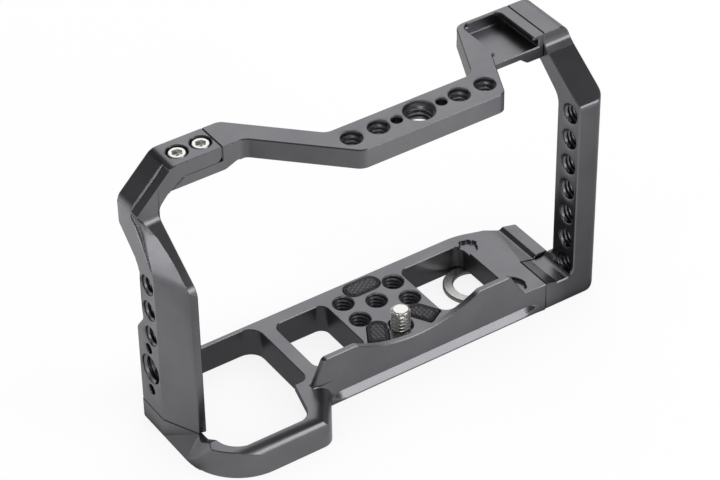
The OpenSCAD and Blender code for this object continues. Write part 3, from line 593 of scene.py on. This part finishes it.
# ---------------------------------------------------------------------------
# Driver key: a flat ring with a screwdriver blade, stamped from steel sheet and
# brushed along its length. Two nickel plated magnets hold it under the base.
# ---------------------------------------------------------------------------
# Brushed steel: fine scratches along the blade that break the highlight into a
# soft grain. They are 0.04 mm wide on the real key and drawn at 0.16 mm.
key_steel, tree, out = new_material("steel_sheet_brushed")
place = add(tree, "ShaderNodeTexCoord")
along = add(tree, "ShaderNodeMapping", {"Vector": place.outputs["Object"]})
along.inputs["Scale"].default_value = (0.04, 1, 1)
scratch = add(tree, "ShaderNodeTexNoise", {"Vector": along.outputs["Vector"]},
              Scale=1 / (0.16 * mm), Detail=3.0, Roughness=0.6)
tint = ramp(add(tree, "ShaderNodeValToRGB", {"Fac": scratch.outputs["Fac"]}),
            [(0.3, linear("#b4b3b1")), (0.7, linear("#d2d1cf"))])
bump = add(tree, "ShaderNodeBump", {"Height": scratch.outputs["Fac"]}, Strength=0.35,
           Distance=0.01 * mm)
brushed = add(tree, "ShaderNodeBsdfPrincipled",
              {"Base Color": tint.outputs["Color"], "Normal": bump.outputs["Normal"]},
              Metallic=1.0, Roughness=0.34)
tree.links.new(brushed.outputs["BSDF"], out.inputs["Surface"])
key = node_copy("driver_key", "driver_key_stamped")
break_edges(key, 0.3 * mm, over=32)
finish_piece(key, "key", key_steel)

# Nickel plating: a mirror with the faintest warm haze.
nickel, tree, out = new_material("nickel_plating")
place = add(tree, "ShaderNodeTexCoord")
haze = add(tree, "ShaderNodeTexNoise", {"Vector": place.outputs["Object"]}, Scale=1 / (0.8 * mm))
tint = ramp(add(tree, "ShaderNodeValToRGB", {"Fac": haze.outputs["Fac"]}),
            [(0.3, linear("#d4d0c8")), (0.7, linear("#dedbd4"))])
plate = add(tree, "ShaderNodeBsdfPrincipled", {"Base Color": tint.outputs["Color"]},
            Metallic=1.0, Roughness=0.12)
tree.links.new(plate.outputs["BSDF"], out.inputs["Surface"])
for node in ("key_magnet_inner", "key_magnet_outer"):
    magnet = node_copy(node, node + "_plated")
    break_edges(magnet, 0.2 * mm, over=40)
    finish_piece(magnet, "frame", nickel)


# ---------------------------------------------------------------------------
# Floor and light: white paper and soft boxes. Not part of the object. The paper
# is white to the camera; what the metal mirrors of it is painted darker close to
# the object, as painted shade where the object itself would keep the light off.
# ---------------------------------------------------------------------------
floor_z = -10.25 * mm
bpy.ops.mesh.primitive_plane_add(size=8, location=(0, 0, floor_z))
floor = bpy.context.active_object
floor.name = "floor"
paper, tree, out = new_material("white_paper")
path = add(tree, "ShaderNodeLightPath")
place = add(tree, "ShaderNodeTexCoord")
lit = add(tree, "ShaderNodeBsdfDiffuse", Color=grey(0.9))
white = add(tree, "ShaderNodeEmission", Color=grey(1), Strength=1.0)
# the camera sees mostly plain white, and enough of the lit paper to keep the shadow
seen = add(tree, "ShaderNodeMath", {0: path.outputs["Is Camera Ray"]}, {"operation": "MULTIPLY"})
seen.inputs[1].default_value = 0.85
to_camera = add(tree, "ShaderNodeMixShader", {0: seen.outputs[0], 1: lit.outputs["BSDF"],
                                              2: white.outputs["Emission"]})
# distance outwards from the rectangle that the object stands in
footprint_centre = (-5.9 * mm, 8.6 * mm, 0)
footprint_half = (75 * mm, 18.5 * mm, 0)
centred = add(tree, "ShaderNodeVectorMath", {0: place.outputs["Object"]},
              {"operation": "SUBTRACT"})
centred.inputs[1].default_value = footprint_centre
folded = add(tree, "ShaderNodeVectorMath", {0: centred.outputs[0]}, {"operation": "ABSOLUTE"})
beyond = add(tree, "ShaderNodeVectorMath", {0: folded.outputs[0]}, {"operation": "SUBTRACT"})
beyond.inputs[1].default_value = footprint_half
outside = add(tree, "ShaderNodeVectorMath", {0: beyond.outputs[0]}, {"operation": "MAXIMUM"})
away = add(tree, "ShaderNodeVectorMath", {0: outside.outputs[0]}, {"operation": "LENGTH"})
reach = add(tree, "ShaderNodeMapRange", {"Value": away.outputs["Value"]})
reach.inputs["From Max"].default_value = 150 * mm
# painted shade: what the metal mirrors of the paper is darkest at the object's footprint and
# lighter further out
shade = ramp(add(tree, "ShaderNodeValToRGB", {"Fac": reach.outputs["Result"]}),
             [(at, grey(level)) for at, level in ((0, 0.12), (0.02, 0.28), (0.04, 0.34),
                                                  (0.33, 0.42), (0.52, 0.47), (1, 0.6))])
# painted darker reflections: what the metal mirrors of the paper is painted darker at the front
# right and the front left
corner = add(tree, "ShaderNodeSeparateXYZ", {"Vector": place.outputs["Object"]})
slant = add(tree, "ShaderNodeMath", {0: corner.outputs["Y"], 2: corner.outputs["X"]},
            {"operation": "MULTIPLY_ADD"})
slant.inputs[1].default_value = 0.66
painted_dark_right = add(tree, "ShaderNodeMapRange", {"Value": slant.outputs[0]}, From_Min=43 * mm,
                 From_Max=51 * mm, To_Min=1.0, To_Max=0.5)
total = add(tree, "ShaderNodeMath", {0: corner.outputs["X"], 1: corner.outputs["Y"]})
painted_dark_left = add(tree, "ShaderNodeMapRange", {"Value": total.outputs[0]}, From_Min=-150 * mm,
                From_Max=-120 * mm, To_Min=0.6, To_Max=1.0)
painted_dark_reflections = add(tree, "ShaderNodeMath", {0: painted_dark_right.outputs[0], 1: painted_dark_left.outputs[0]},
            {"operation": "MULTIPLY"})
level = add(tree, "ShaderNodeMath", {0: painted_dark_reflections.outputs[0]}, {"operation": "MULTIPLY"})
level.inputs[1].default_value = 2.0
mirrored = add(tree, "ShaderNodeEmission", {"Color": shade.outputs["Color"],
                                            "Strength": level.outputs[0]})
mix = add(tree, "ShaderNodeMixShader", {0: path.outputs["Is Glossy Ray"], 1: to_camera.outputs[0],
                                        2: mirrored.outputs["Emission"]})
tree.links.new(mix.outputs["Shader"], out.inputs["Surface"])
floor.data.materials.append(paper)

# The room: plain light on matt surfaces, and for the metal to mirror a dark
# ceiling above a bright band at the paper's far edge.
world = bpy.data.worlds.new("studio")
bpy.context.scene.world = world
world.use_nodes = True
tree = world.node_tree
tree.nodes.clear()
ray = add(tree, "ShaderNodeTexCoord")
path = add(tree, "ShaderNodeLightPath")
split = add(tree, "ShaderNodeSeparateXYZ", {"Vector": ray.outputs["Generated"]})
height = ramp(add(tree, "ShaderNodeValToRGB", {"Fac": split.outputs["Z"]}),
              [(at, grey(level)) for at, level in ((0, 1), (0.12, 0.8), (0.26, 0.1), (1, 0.1))])
room = add(tree, "ShaderNodeMix", {0: path.outputs["Is Glossy Ray"], 7: height.outputs["Color"]},
           {"data_type": "RGBA"})
room.inputs[6].default_value = grey(0.7)
glow = add(tree, "ShaderNodeBackground", {"Color": room.outputs[2]}, Strength=1.0)
add(tree, "ShaderNodeOutputWorld", {"Surface": glow.outputs["Background"]})

bpy.context.scene.view_settings.view_transform = "Standard"


def soft_box(name, towards, width, length, brightness):
    """Soft box: an area lamp out towards a direction, its size in metres, and as bright
    to a mirror as a white surface of the brightness given."""
    distance = 1.2
    data = bpy.data.lights.new(name, "AREA")
    data.shape = "RECTANGLE"
    data.size, data.size_y = width, length
    data.energy = brightness * pi * width * length
    lamp = bpy.data.objects.new(name, data)
    way = Vector(towards).normalized()
    lamp.location = way * distance
    lamp.rotation_euler = (-way).to_track_quat("-Z", "Y").to_euler()
    bpy.context.collection.objects.link(lamp)


# The camera sees them mirrored, in turn, in faces that look straight up, forwards and up,
# to the left and up, nearly straight up, and almost at the camera.
soft_box("box_behind", (0.435, 0.659, 0.613), 0.95, 0.85, 1.25)
soft_box("box_front_right", (0.435, -0.73, 0.53), 0.75, 0.5, 3.4)
soft_box("box_far_left", (-0.92, -0.12, 0.3), 0.4, 0.5, 2.6)
soft_box("box_above", (-0.07, -0.11, 0.99), 0.35, 0.35, 4)
soft_box("box_camera", (-0.56, -0.74, 0.38), 0.26, 0.22, 4)
